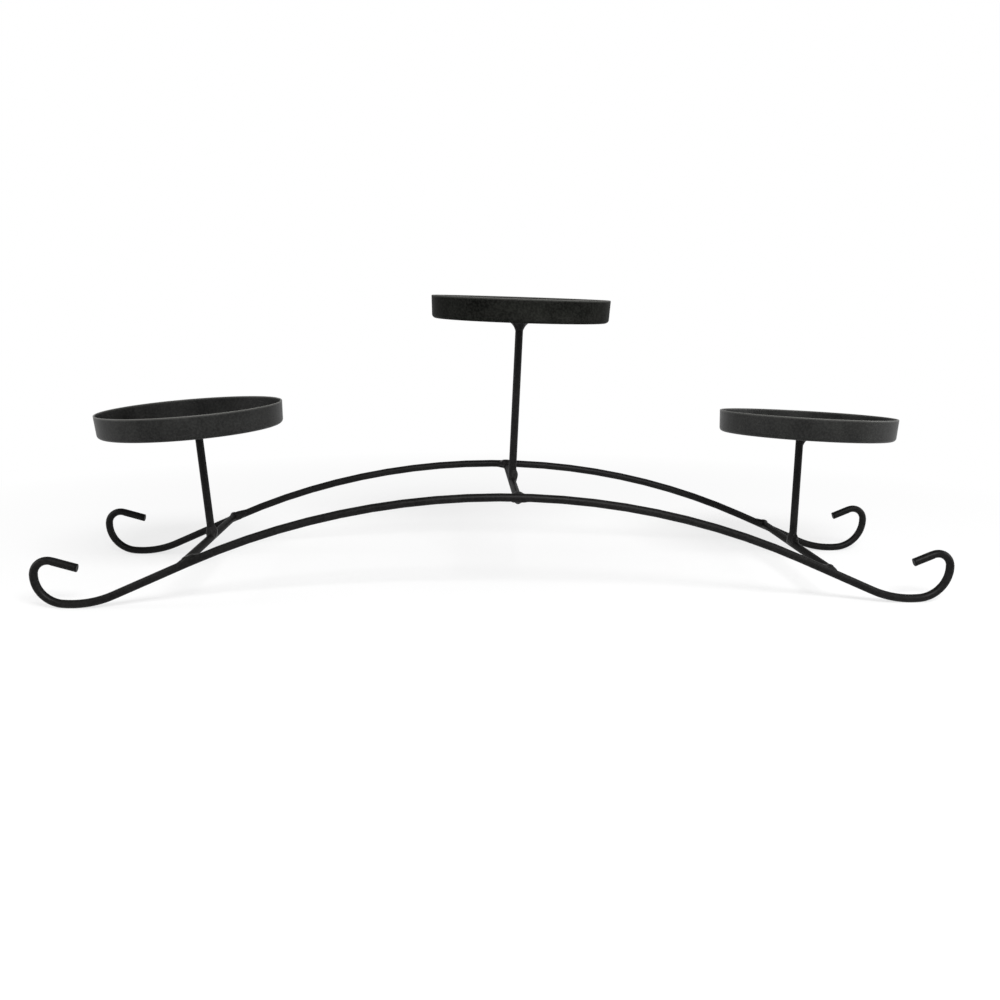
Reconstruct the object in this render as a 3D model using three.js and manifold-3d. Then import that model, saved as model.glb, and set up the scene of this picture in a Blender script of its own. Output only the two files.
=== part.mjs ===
// Arched candle centrepiece for three pillar candles, welded from round steel rod and pressed trays.
// Two bent rails run side by side and stand on their four scrolled ends. Three crossbars tie the rails
// together, a stem stands on the middle of each crossbar, and each stem carries a shallow round tray.
// Millimetres. +X runs along the rails, -Y is the front, +Z is up. The origin lies on the table, at the
// middle of the footprint.

import * as THREE from 'three';
import { mergeVertices } from 'three/addons/utils/BufferGeometryUtils.js';
import Module from 'manifold-3d';

// ---- Driving dimensions: millimetres and degrees -------------------------------------------------

const OVERALL_LENGTH = 560; // outside of the left scrolls to the outside of the right scrolls
const RAIL_SPACING = 137.5; // centre of the front rail to the centre of the rear rail
const ROD_DIAMETER = 5; // rails, crossbars and stems are all cut from this rod
const JOINT_GAP = 0.3; // clearance left between pieces that are welded together

// Rail, from the crest outwards. Slopes are measured from level, and a rising rod has a positive slope.
const ARCH_END_SLOPE = -23.8; // the arch falls away to this slope
const STRAIGHT_RUN = 48.8; // straight stretch between the arch and the foot
const FOOT_RADIUS = 60.9; // easy bend that touches the table
const FOOT_END_SLOPE = 4.8; // the foot bend ends just past level
const SCROLL_END_SLOPE = 94.3; // the scroll turns the rod up on end and a little past it

// Radius of each scroll: no two are bent quite alike, and the rear ones are wider.
const SCROLL_RADII = { front: { left: 17.3, right: 19.2 }, rear: { left: 19.3, right: 20.3 } };

// The tight curl at the top of a scroll turns the rod back and down to its end slope, and a straight tip
// follows.
const CURLS = {
  left: { radius: 8.5, endSlope: 196.2, tipLength: 15.8 },
  right: { radius: 8, endSlope: 202.6, tipLength: 13.1 },
};

// Trays: a flat floor, a small rolled corner, an upright wall with a rounded edge.
const TRAY_DIAMETER = 115; // outside, at the rim
const TRAY_HEIGHT = 14.4; // underside of the floor to the top of the rim
const TRAY_SHEET = 1; // thickness of the pressed sheet
const TRAY_CORNER = 2.5; // outside radius where the floor turns up into the wall
const TRAY_DRAFT = 0.6; // the wall leans out by this much from the corner to the rim

// Crossbars: their places along the rails, and how far each is welded above the rails' own centreline.
const LEFT_CROSSBAR_INSET = 92.9; // in from the outside of the left scrolls
const CENTRE_CROSSBAR_OFFSET = 10.7; // to the right of the middle
const RIGHT_CROSSBAR_INSET = 78; // in from the outside of the right scrolls
const SIDE_CROSSBAR_LIFT = 1.4;
const CENTRE_CROSSBAR_LIFT = -1.5;

const LEFT_STEM_LENGTH = 69.5;
const CENTRE_STEM_LENGTH = 101.5;
const RIGHT_STEM_LENGTH = 70.2;

// Weld beads, each measured from the middle of its joint.
const RAIL_WELD = { along: 6, out: 4.4, thick: 2.8 }; // along the rail, along the crossbar, up and down
const STEM_WELD = { along: 5.6, out: 4.2, thick: 3.9 }; // along the crossbar, up the stem, to the sides
const TRAY_WELD_HEIGHT = 5; // down the stem from the tray's underside
const WELD_EDGE = 0.4; // thickness at which a fillet runs out

// Each pillar as it is welded. Angles are in degrees: how the stem leans to the right and to the front, and
// how the tray tilts to the right. Shifts move the stem's foot to the rear of the crossbar's middle, the
// tray to the right and to the rear of its stem, and the beads on the rails to the right of the crossbar.
// The bead under the tray spreads by its reach.
const PILLARS = [
  {
    name: 'left', crossbarX: LEFT_CROSSBAR_INSET - OVERALL_LENGTH / 2, lift: SIDE_CROSSBAR_LIFT,
    stemLength: LEFT_STEM_LENGTH, stemShift: -0.8, leanRight: -4.3, leanFront: 1.2,
    trayTilt: -3.7, trayRight: -1.1, trayRear: -8.8,
    frontWeldShift: 0, rearWeldShift: 0.5, trayWeldReach: 2.2,
  },
  {
    name: 'centre', crossbarX: CENTRE_CROSSBAR_OFFSET, lift: CENTRE_CROSSBAR_LIFT,
    stemLength: CENTRE_STEM_LENGTH, stemShift: 0.6, leanRight: 2.2, leanFront: 1.5,
    trayTilt: 1.5, trayRight: 0.6, trayRear: 4,
    frontWeldShift: 0.5, rearWeldShift: -2, trayWeldReach: 4.8,
  },
  {
    name: 'right', crossbarX: OVERALL_LENGTH / 2 - RIGHT_CROSSBAR_INSET, lift: SIDE_CROSSBAR_LIFT,
    stemLength: RIGHT_STEM_LENGTH, stemShift: 2, leanRight: 1.4, leanFront: -2.3,
    trayTilt: 2.5, trayRight: 4.5, trayRear: 1.9,
    frontWeldShift: -0.5, rearWeldShift: -1, trayWeldReach: 3.8,
  },
];

// ---- Fineness of the faceted surfaces ------------------------------------------------------------

const ROD_SIDES = 16;
const CHORD_TOLERANCE = 0.12; // most that a flat step on a bend may lie off the true curve
const TRAY_SIDES = 60;
const CORNER_STEPS = 4;
const EDGE_STEPS = 4;
const BEAD_SIDES = 18;
const BEAD_RINGS = 10;
const FILLET_SIDES = 20;
const FILLET_STEPS = 5;

// ---- Worked out from the driving dimensions ------------------------------------------------------

const ROD_RADIUS = ROD_DIAMETER / 2;
const CLEAR_RADIUS = ROD_RADIUS + JOINT_GAP;
const HALF_SPACING = RAIL_SPACING / 2;
const CROSSBAR_LENGTH = 2 * (HALF_SPACING - CLEAR_RADIUS);

const wasm = await Module();
wasm.setup();

const radians = THREE.MathUtils.degToRad;

// ---- Materials: one black satin coating, a little lighter on the trays ---------------------------

const coating = (color, roughness) => new THREE.MeshStandardMaterial({ color, roughness, metalness: 0.1 });
const ROD_COATING = { color: 0x1a1a1a, roughness: 0.5 };
const TRAY_COATING = { color: 0x222321, roughness: 0.55 };
const WELD_COATING = { color: 0x1c1b1b, roughness: 0.6 };

function namedMesh(name, geometry, { color, roughness }) {
  const mesh = new THREE.Mesh(geometry, coating(color, roughness));
  mesh.name = name;
  return mesh;
}

// ---- Solids that are cut by their neighbours -----------------------------------------------------

function toSolid(geometry) {
  const bare = geometry.clone();
  bare.deleteAttribute('normal');
  bare.deleteAttribute('uv');
  const merged = mergeVertices(bare);
  const vertProperties = new Float32Array(merged.attributes.position.array);
  const triVerts = new Uint32Array(merged.index.array);
  return new wasm.Manifold(new wasm.Mesh({ numProp: 3, vertProperties, triVerts }));
}

function toGeometry(solid) {
  const { vertProperties, triVerts } = solid.getMesh();
  const geometry = new THREE.BufferGeometry();
  geometry.setAttribute('position', new THREE.BufferAttribute(vertProperties, 3));
  geometry.setIndex(new THREE.BufferAttribute(triVerts, 1));
  geometry.computeVertexNormals();
  return geometry;
}

// ---- Rail: one rod, bent in the upright plane through its own length -----------------------------

// One stretch of the rod: an arc of `radius` that turns it from one slope to the next, or a straight run.
// Stretches follow each other head to tail, so the rod has no corner anywhere.
class Stretch {
  constructor(start, slope, { radius, endSlope, run }) {
    this.start = start;
    this.slope = slope;
    this.endSlope = endSlope ?? slope;
    this.run = run ?? 0;
    this.side = Math.sign(this.endSlope - this.slope);
    this.radius = radius ?? 0;
    const stepAngle = radius ? 2 * Math.acos(1 - CHORD_TOLERANCE / radius) : Infinity;
    this.steps = Math.max(1, Math.ceil(Math.abs(this.endSlope - this.slope) / stepAngle));
  }

  slopeAt(part) {
    return THREE.MathUtils.lerp(this.slope, this.endSlope, part);
  }

  pointAt(part) {
    const slope = this.slopeAt(part);
    const turn = this.side * this.radius;
    const along = this.run * part;
    const dx = turn * (Math.sin(slope) - Math.sin(this.slope)) + along * Math.cos(this.slope);
    const dz = turn * (Math.cos(this.slope) - Math.cos(slope)) + along * Math.sin(this.slope);
    return new THREE.Vector2(this.start.x + dx, this.start.y + dz);
  }

  // The part of the stretch at which the rod has this slope, held between its two ends.
  partAtSlope(slope) {
    const turned = this.endSlope - this.slope;
    return turned === 0 ? 1 : THREE.MathUtils.clamp((slope - this.slope) / turned, 0, 1);
  }
}

function chain(bends, slope = 0) {
  let start = new THREE.Vector2(0, 0);
  const stretches = [];
  for (const bend of bends) {
    const stretch = new Stretch(start, slope, bend);
    stretches.push(stretch);
    start = stretch.pointAt(1);
    slope = stretch.endSlope;
  }
  return stretches;
}

// Everything between the arch and the cut end, for the rail at the front or rear and its left or right end.
// The foot bend comes in two stretches that meet where the rod is level, so a ring of it rests on the table.
function bendsPastArch(place, end) {
  const curl = CURLS[end];
  return [
    { run: STRAIGHT_RUN },
    { radius: FOOT_RADIUS, endSlope: 0 },
    { radius: FOOT_RADIUS, endSlope: radians(FOOT_END_SLOPE) },
    { radius: SCROLL_RADII[place][end], endSlope: radians(SCROLL_END_SLOPE) },
    { radius: curl.radius, endSlope: radians(curl.endSlope) },
    { run: curl.tipLength },
  ];
}

// How far past the arch's end the wider of the two feet at one end reaches. A rod is furthest out where it
// stands upright.
function reachPastArch(end) {
  const stretches = ['front', 'rear'].flatMap((place) => (
    chain(bendsPastArch(place, end), radians(ARCH_END_SLOPE))
  ));
  return Math.max(...stretches.map((each) => each.pointAt(each.partAtSlope(Math.PI / 2)).x));
}

// The arch takes up the length that the feet leave. Both rails have the same arch, and its crest is moved
// off the middle by what the feet at the left reach further than those at the right.
const LEFT_REACH = reachPastArch('left');
const RIGHT_REACH = reachPastArch('right');
const CREST_X = (LEFT_REACH - RIGHT_REACH) / 2;
const ARCH_REACH = (OVERALL_LENGTH - ROD_DIAMETER - LEFT_REACH - RIGHT_REACH) / 2;
const ARCH_RADIUS = ARCH_REACH / Math.sin(-radians(ARCH_END_SLOPE));

function halfRail(place, end) {
  const arch = { radius: ARCH_RADIUS, endSlope: radians(ARCH_END_SLOPE) };
  return chain([arch, ...bendsPastArch(place, end)]);
}

// The rod is lowest where a bend takes it through level, and there it rests on the table.
const PROFILE = halfRail('front', 'right');
const LEVEL_POINTS = PROFILE.slice(1).map((each) => each.pointAt(each.partAtSlope(0)).y);
const CREST_HEIGHT = ROD_RADIUS - Math.min(...LEVEL_POINTS);

// Height and slope of a rail's centreline over a place x between the feet.
function railAt(x) {
  const end = Math.sign(x - CREST_X);
  const reach = Math.abs(x - CREST_X);
  const stretch = PROFILE.find((each) => each.pointAt(1).x >= reach);
  const { start, slope, side, radius } = stretch;
  const ahead = reach - start.x;
  if (radius === 0) {
    return { height: CREST_HEIGHT + start.y + ahead * Math.tan(slope), slope: slope * end };
  }
  const reached = Math.asin(Math.sin(slope) + ahead / (side * radius));
  const rise = side * radius * (Math.cos(slope) - Math.cos(reached));
  return { height: CREST_HEIGHT + start.y + rise, slope: reached * end };
}

const countSteps = (stretches) => stretches.reduce((sum, each) => sum + each.steps, 0);

// The whole centreline, left tip to right tip. Every stretch gets its own steps, so each bend starts and
// ends on a ring of the rod's surface.
class RailCurve extends THREE.Curve {
  constructor(leftHalf, rightHalf) {
    super();
    this.leftHalf = leftHalf;
    this.rightHalf = rightHalf;
    this.leftSteps = countSteps(leftHalf);
    this.steps = this.leftSteps + countSteps(rightHalf);
  }

  // Steps are spread by bend and not by length.
  getUtoTmapping(u) {
    return u;
  }

  locate(t) {
    const stepsFromCrest = t * this.steps - this.leftSteps;
    const mirror = Math.sign(stepsFromCrest) || 1;
    const half = mirror < 0 ? this.leftHalf : this.rightHalf;
    let step = Math.min(Math.abs(stepsFromCrest), countSteps(half));
    const stretch = half.find((each) => {
      if (step <= each.steps) return true;
      step -= each.steps;
      return false;
    });
    return { mirror, stretch, part: step / stretch.steps };
  }

  getPoint(t, target = new THREE.Vector3()) {
    const { mirror, stretch, part } = this.locate(t);
    const point = stretch.pointAt(part);
    return target.set(CREST_X + mirror * point.x, 0, CREST_HEIGHT + point.y);
  }

  getTangent(t, target = new THREE.Vector3()) {
    const { mirror, stretch, part } = this.locate(t);
    const slope = mirror * stretch.slopeAt(part);
    return target.set(Math.cos(slope), 0, Math.sin(slope));
  }
}

function rodSection(radius) {
  const corners = Array.from({ length: ROD_SIDES }, (_, side) => {
    const angle = (2 * Math.PI * side) / ROD_SIDES;
    return new THREE.Vector2(radius * Math.cos(angle), radius * Math.sin(angle));
  });
  return new THREE.Shape(corners);
}

function railGeometry(place) {
  const curve = new RailCurve(halfRail(place, 'left'), halfRail(place, 'right'));
  return new THREE.ExtrudeGeometry(rodSection(ROD_RADIUS), {
    extrudePath: curve,
    steps: curve.steps,
    bevelEnabled: false,
  });
}

// ---- Straight rods -------------------------------------------------------------------------------

// A rod along Y, centred, as a crossbar lies.
function levelRod(length, radius = ROD_RADIUS) {
  return new THREE.CylinderGeometry(radius, radius, length, ROD_SIDES);
}

// A rod along Z, standing on its lower end, as a stem does.
function uprightRod(length, radius = ROD_RADIUS) {
  return levelRod(length, radius).rotateX(Math.PI / 2).translate(0, 0, length / 2);
}

// ---- Tray: one revolved sheet --------------------------------------------------------------------

function arcPoints(centreX, centreY, radius, fromDegrees, toDegrees, steps) {
  return Array.from({ length: steps + 1 }, (_, step) => {
    const angle = radians(THREE.MathUtils.lerp(fromDegrees, toDegrees, step / steps));
    return new THREE.Vector2(centreX + radius * Math.cos(angle), centreY + radius * Math.sin(angle));
  });
}

// The profile runs out along the underside, round the corner, up the wall, over the rounded edge and back
// down the inside to the middle of the floor. The underside's middle is the tray's origin.
function trayGeometry() {
  const rimRadius = TRAY_DIAMETER / 2;
  const cornerCentre = rimRadius - TRAY_DRAFT - TRAY_CORNER;
  const edgeRadius = TRAY_SHEET / 2;
  const innerCorner = TRAY_CORNER - TRAY_SHEET;
  const profile = [
    new THREE.Vector2(0, 0),
    ...arcPoints(cornerCentre, TRAY_CORNER, TRAY_CORNER, -90, 0, CORNER_STEPS),
    ...arcPoints(rimRadius - edgeRadius, TRAY_HEIGHT - edgeRadius, edgeRadius, 0, 180, EDGE_STEPS),
    ...arcPoints(cornerCentre, TRAY_CORNER, innerCorner, 0, -90, CORNER_STEPS),
    new THREE.Vector2(0, TRAY_SHEET),
  ];
  return new THREE.LatheGeometry(profile, TRAY_SIDES).rotateX(Math.PI / 2);
}

// ---- Weld beads ----------------------------------------------------------------------------------

const bead = (x, y, z) => new THREE.SphereGeometry(1, BEAD_SIDES, BEAD_RINGS).scale(x, y, z);

// Bead between a crossbar's square end and the inner side of a rail. The rail lies along X through the
// origin, and the crossbar comes in along Y from `side`, with its centreline moved by `offset`.
function railWeldGeometry(side, shift, offset) {
  const { along, out, thick } = RAIL_WELD;
  const reach = 2 * (along + out);
  const lump = bead(along, out, thick + offset.length() / 2);
  lump.translate(shift + offset.x / 2, side * ROD_RADIUS, offset.z / 2);
  const rail = toSolid(levelRod(reach + 2 * Math.abs(shift), CLEAR_RADIUS).rotateZ(Math.PI / 2));
  const crossbar = levelRod(reach, CLEAR_RADIUS).translate(offset.x, side * reach / 2, offset.z);
  return toGeometry(toSolid(lump).subtract(rail).subtract(toSolid(crossbar)));
}

// Bead round the foot of a stem, wrapped over the top of its crossbar. The crossbar lies along Y through
// the origin and the stem stands along Z.
function stemWeldGeometry() {
  const { along, out, thick } = STEM_WELD;
  const reach = 2 * (along + out);
  const lump = toSolid(bead(thick, along, out).translate(0, 0, ROD_RADIUS));
  const crossbar = toSolid(levelRod(reach, CLEAR_RADIUS));
  const stem = toSolid(uprightRod(reach, CLEAR_RADIUS));
  return toGeometry(lump.subtract(crossbar).subtract(stem));
}

// Hollow-sided fillet round the head of a stem. Its top is level with the origin and `bore` is its inside
// radius; the side is a quarter of an ellipse that runs out along the stem and along the tray.
function trayWeldGeometry(bore, reach) {
  const side = Array.from({ length: FILLET_STEPS + 1 }, (_, step) => {
    const angle = ((Math.PI / 2) * step) / FILLET_STEPS;
    const radius = bore + WELD_EDGE + reach * (1 - Math.cos(angle));
    return new THREE.Vector2(radius, -TRAY_WELD_HEIGHT + (TRAY_WELD_HEIGHT - WELD_EDGE) * Math.sin(angle));
  });
  const outerTop = new THREE.Vector2(bore + WELD_EDGE + reach, 0);
  const foot = new THREE.Vector2(bore, -TRAY_WELD_HEIGHT);
  const profile = [foot, ...side, outerTop, new THREE.Vector2(bore, 0), foot.clone()];
  return new THREE.LatheGeometry(profile, FILLET_SIDES).rotateX(Math.PI / 2);
}

// ---- Assembly ------------------------------------------------------------------------------------

function rails() {
  const group = new THREE.Group();
  for (const [place, side] of [['front', -1], ['rear', 1]]) {
    const rail = namedMesh(`${place}_rail`, railGeometry(place), ROD_COATING);
    rail.position.y = side * HALF_SPACING;
    group.add(rail);
  }
  return group;
}

function crossbar({ name, crossbarX, lift, frontWeldShift, rearWeldShift }) {
  const group = new THREE.Group();
  const { height, slope } = railAt(crossbarX);
  group.position.set(crossbarX, 0, height + lift);
  group.add(namedMesh(`${name}_crossbar`, levelRod(CROSSBAR_LENGTH), ROD_COATING));
  const offset = new THREE.Vector3(lift * Math.sin(slope), 0, lift * Math.cos(slope));
  for (const [place, side, shift] of [
    ['front', 1, frontWeldShift],
    ['rear', -1, rearWeldShift],
  ]) {
    const geometry = railWeldGeometry(side, shift, offset);
    const weld = namedMesh(`${name}_${place}_rail_weld`, geometry, WELD_COATING);
    weld.position.set(0, -side * HALF_SPACING, -lift);
    weld.rotation.y = -slope;
    group.add(weld);
  }
  return group;
}

// Stem, tray and their beads. The group stands on the crossbar's centreline and leans with the stem, and
// the tray's own group sits on the stem's head and turns by what the tray tilts more than the stem.
function pillar({
  name, crossbarX, lift, stemLength, stemShift, leanRight, leanFront,
  trayTilt, trayRight, trayRear, trayWeldReach,
}) {
  const group = new THREE.Group();
  group.position.set(crossbarX, stemShift, railAt(crossbarX).height + lift);
  group.rotation.set(radians(leanFront), radians(leanRight), 0);

  const stem = namedMesh(`${name}_stem`, uprightRod(stemLength), ROD_COATING);
  stem.position.z = CLEAR_RADIUS + ROD_RADIUS * Math.sin(Math.abs(radians(leanFront)));
  const footWeld = namedMesh(`${name}_stem_weld`, stemWeldGeometry(), WELD_COATING);
  group.add(stem, footWeld);

  const head = new THREE.Group();
  const skew = radians(trayTilt - leanRight);
  head.position.z = stem.position.z + stemLength;
  head.rotation.y = skew;
  group.add(head);

  const seat = JOINT_GAP + ROD_RADIUS * Math.sin(Math.abs(skew));
  const tray = namedMesh(`${name}_tray`, trayGeometry(), TRAY_COATING);
  tray.position.set(trayRight, trayRear, seat);
  const bore = CLEAR_RADIUS + TRAY_WELD_HEIGHT * Math.tan(Math.abs(skew));
  const headWeld = namedMesh(`${name}_tray_weld`, trayWeldGeometry(bore, trayWeldReach), WELD_COATING);
  headWeld.position.z = seat - JOINT_GAP;
  head.add(tray, headWeld);
  return group;
}

const centrepiece = new THREE.Group();
centrepiece.add(rails(), ...PILLARS.map(crossbar), ...PILLARS.map(pillar));

export default centrepiece;
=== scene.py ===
"""Arched candle centrepiece: the finished look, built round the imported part.

Metres throughout, in the part's own frame: X runs along the rails, the front looks towards -Y, Z is up and
the table is at Z = 0. Every piece is a surface worked out with numpy that takes the place of one node.
"""

import math
from typing import NamedTuple

import bpy
import numpy as np
from bpy.props import FloatProperty, FloatVectorProperty, IntProperty, PointerProperty
from mathutils import Matrix, Vector


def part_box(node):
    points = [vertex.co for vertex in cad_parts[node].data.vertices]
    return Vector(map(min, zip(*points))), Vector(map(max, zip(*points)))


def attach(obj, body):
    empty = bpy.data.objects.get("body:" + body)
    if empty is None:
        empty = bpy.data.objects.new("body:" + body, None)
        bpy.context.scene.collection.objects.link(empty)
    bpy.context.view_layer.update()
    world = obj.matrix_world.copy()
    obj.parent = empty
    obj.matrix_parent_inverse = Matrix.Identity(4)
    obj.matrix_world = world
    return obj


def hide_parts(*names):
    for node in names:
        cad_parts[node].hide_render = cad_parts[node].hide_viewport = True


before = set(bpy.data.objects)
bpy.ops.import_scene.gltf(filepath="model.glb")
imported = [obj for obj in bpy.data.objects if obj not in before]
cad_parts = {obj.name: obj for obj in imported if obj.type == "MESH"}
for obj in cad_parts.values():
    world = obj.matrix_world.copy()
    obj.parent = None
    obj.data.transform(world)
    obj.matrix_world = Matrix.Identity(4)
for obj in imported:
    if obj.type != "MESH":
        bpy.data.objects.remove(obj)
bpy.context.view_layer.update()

bl_info = {
    "name": "Arched Candle Centrepiece",
    "version": (1, 0, 0),
    "blender": (4, 5, 0),
    "location": "3D View > Sidebar > Candle",
    "description": "Bent rod rails, crossbars, stems, trays and weld beads of an arched candle holder",
    "category": "Object",
}

MM = 0.001
PILLARS = ("left", "centre", "right")
RAILS = ("front", "rear")
ENDS = {"left": -1.0, "right": 1.0}


# ---- Sizes and looks that a user would change ----------------------------------------------------


def number(name, description, default, **settings):
    """A number of any kind."""
    return FloatProperty(name=name, description=description, default=default, **settings)


def length(name, description, default):
    """A length in metres."""
    return number(name, description, default, subtype="DISTANCE", unit="LENGTH", precision=5)


def angle(name, description, degrees):
    """An angle, given in degrees."""
    return number(name, description, math.radians(degrees), subtype="ANGLE", unit="ROTATION")


def share(name, description, default):
    """A number from 0 to 1."""
    return number(name, description, default, min=0.0, max=1.0, subtype="FACTOR")


def tint(name, description, default):
    """A linear colour."""
    return FloatVectorProperty(
        name=name, description=description, default=default, min=0.0, max=1.0, subtype="COLOR", size=3,
    )


class RodSizes(bpy.types.PropertyGroup):
    """The round rod and how the rails are bent from it"""

    diameter: length("Rod Diameter", "Rod of the rails, crossbars and stems", 5.0 * MM)
    arch_slope: angle("Arch End Slope", "Fall of the rail where the arch ends", 23.8)
    straight_run: length("Straight Run", "Straight stretch between the arch and the foot", 48.8 * MM)
    foot_radius: length("Foot Radius", "Easy bend that rests on the table", 60.9 * MM)
    foot_slope: angle("Foot End Slope", "Rise of the rail where the foot bend ends", 4.8)
    front_left_scroll: length("Front Left Scroll", "Radius of the scroll at the front left", 17.3 * MM)
    front_right_scroll: length("Front Right Scroll", "Radius of the scroll at the front right", 19.2 * MM)
    rear_left_scroll: length("Rear Left Scroll", "Radius of the scroll at the rear left", 19.3 * MM)
    rear_right_scroll: length("Rear Right Scroll", "Radius of the scroll at the rear right", 20.3 * MM)
    scroll_slope: angle("Scroll End Slope", "Slope of the rail where a scroll ends", 94.3)
    left_curl: length("Left Curl", "Radius of the tight curls at the left", 8.5 * MM)
    right_curl: length("Right Curl", "Radius of the tight curls at the right", 8.0 * MM)
    left_curl_slope: angle("Left Curl Slope", "Slope of the rails where the left curls end", 196.2)
    right_curl_slope: angle("Right Curl Slope", "Slope of the rails where the right curls end", 202.6)
    left_tip: length("Left Tip", "Straight tips after the left curls", 15.8 * MM)
    right_tip: length("Right Tip", "Straight tips after the right curls", 13.1 * MM)
    cut_edge: length("Cut Edge", "Rounding of the coating at a cut end", 0.55 * MM)
    cut_slant: angle("Cut Slant", "How far the tips are cut off square", 7.0)
    flattening: share("Flattening", "How much the tightest bend flattens the rod", 0.04)
    sides: IntProperty(name="Sides", description="Points round the rod", default=40, min=12, max=96)


class TraySizes(bpy.types.PropertyGroup):
    """The pressed sheet of the trays"""

    sheet: length("Sheet", "Thickness of the sheet", 1.0 * MM)
    corner: length("Corner", "Outside radius where the floor turns up into the wall", 2.5 * MM)
    draft: length("Draft", "How far the wall leans out from the corner to the rim", 0.6 * MM)
    dish: length("Dish", "How far the floor sinks at its middle", 0.25 * MM)
    ripple: length("Ripple", "Unevenness of the pressed wall", 0.07 * MM)
    # Painted highlight: how far down from the rim the trays' coat is lightened, standing in for light caught
    # by the rounded rim.
    rim_highlight_band: length("Rim Highlight Band", "How far down from the rim the painted highlight reaches", 0.7 * MM)
    sides: IntProperty(name="Sides", description="Points round the tray", default=240, min=48, max=720)


class WeldSizes(bpy.types.PropertyGroup):
    """The weld beads"""

    ripple: length("Ripple", "Height of the small waves on a bead", 0.16 * MM)
    film: length("Film", "Least thickness of a bead where it lies on a rod", 0.22 * MM)
    sink: share("Sink", "How deep a bead reaches into the rods", 0.55)
    around: IntProperty(name="Around", description="Points round the joint", default=144, min=24, max=360)
    across: IntProperty(name="Across", description="Points across the bead", default=28, min=8, max=96)


class CoatLook(bpy.types.PropertyGroup):
    """The black satin powder coat"""

    rod_colour: tint("Rod Colour", "Coat on the rods", (0.0047, 0.0045, 0.0044))
    rod_gloss: share("Rod Gloss", "Specular level of the coat on the rails and stems", 0.085)
    # Painted shade: the crossbars carry the rods' coat, with a lower specular level that keeps them dark.
    crossbar_gloss: share("Crossbar Gloss", "Specular level of the shaded copy of the rod coat on the crossbars", 0.015)
    weld_colour: tint("Weld Colour", "Coat on the weld beads", (0.0068, 0.0065, 0.0064))
    weld_gloss: share("Weld Gloss", "Specular level of the coat on the beads", 0.06)
    # The three tray coats are lit and shaded copies of one black coat: the centre tray's darker colour and
    # much lower specular level are painted shade, for the less light that reaches it, and the side trays'
    # lighter colours are painted light.
    left_tray_colour: tint("Left Tray Colour", "Coat on the left tray", (0.0080, 0.0081, 0.0077))
    left_tray_gloss: share("Left Tray Gloss", "Specular level of the coat on the left tray", 0.13)
    centre_tray_colour: tint("Centre Tray Colour", "Coat on the centre tray", (0.0068, 0.0070, 0.0062))
    centre_tray_gloss: share("Centre Tray Gloss", "Specular level of the coat on the centre tray", 0.007)
    right_tray_colour: tint("Right Tray Colour", "Coat on the right tray", (0.0076, 0.0078, 0.0072))
    right_tray_gloss: share("Right Tray Gloss", "Specular level of the coat on the right tray", 0.17)
    # Painted highlight: the pale colour that the trays' rims take, standing in for light caught by the
    # rounded rim.
    rim_highlight_colour: tint("Rim Highlight Colour", "Coat where it is thin on the trays' rims", (0.110, 0.110, 0.104))
    roughness: share("Roughness", "Middle roughness of the coat", 0.45)
    peel_size: length("Peel Size", "Width of the waves in the coat", 0.9 * MM)
    peel_depth: length("Peel Depth", "Depth of the waves in the coat", 0.012 * MM)


class StudioLook(bpy.types.PropertyGroup):
    """Floor, light and camera"""

    floor_colour: tint("Floor Colour", "The pale floor", (0.90, 0.90, 0.90))
    world_fill: share("World Fill", "Strength of the white surroundings on the object", 0.55)
    key_power: number("Key Power", "Power of the soft box over the camera", 18.0, min=0.0, unit="POWER")
    side_power: number("Side Power", "Power of each side soft box", 5.5, min=0.0, unit="POWER")
    camera_place: FloatVectorProperty(
        name="Camera Place", description="Where the camera stands", size=3, subtype="TRANSLATION",
        unit="LENGTH", default=(-0.02557, -0.65201, 0.17363),
    )
    camera_yaw: angle("Camera Yaw", "Turn to the right of straight ahead", math.degrees(0.0435))
    camera_pitch: angle("Camera Pitch", "Look down from level", math.degrees(0.1843))
    camera_roll: angle("Camera Roll", "Turn about the line of sight", math.degrees(-0.0054))
    camera_lens: number("Lens", "Focal length on a 36 mm sensor, in millimetres", 36.0, min=1.0)


# ---- Surfaces ------------------------------------------------------------------------------------


def unit(vectors):
    """Vectors divided by their own length."""
    vectors = np.asarray(vectors, float)
    return vectors / np.linalg.norm(vectors, axis=-1, keepdims=True)


def full_turn(count):
    """Angles spaced evenly over a full turn."""
    return 2.0 * math.pi * np.arange(count) / count


def level_axes(normal):
    """Two directions at right angles to a normal and to each other, one to the right and one to the rear."""
    right = unit(np.cross((0.0, 1.0, 0.0), normal))
    return right, np.cross(normal, right)


def grid_quads(rows, columns, closed_rows):
    """Corner numbers of the quads between neighbouring rows of points. Columns always close on themselves."""
    row = np.arange(rows if closed_rows else rows - 1)[:, None]
    column = np.arange(columns)[None, :]
    next_row = (row + 1) % rows
    next_column = (column + 1) % columns
    corners = [row * columns + column, row * columns + next_column,
               next_row * columns + next_column, next_row * columns + column]
    return np.stack(corners, axis=-1).reshape(-1, 4)


def enclosed_volume(points, triangles):
    """Sum over the triangles of the triple product of their corners, over six. It is positive when the
    faces point outwards."""
    a, b, c = (points[triangles[:, corner]] for corner in range(3))
    return float(np.einsum("ij,ij->i", a, np.cross(b, c)).sum()) / 6.0


def outward(points, quads, caps):
    """The faces, turned round where the closed surface would be inside out."""
    halves = np.concatenate([quads[:, :3], quads[:, [0, 2, 3]], caps])
    if enclosed_volume(points - points.mean(axis=0), halves) < 0.0:
        return quads[:, ::-1], caps[:, ::-1]
    return quads, caps


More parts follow.
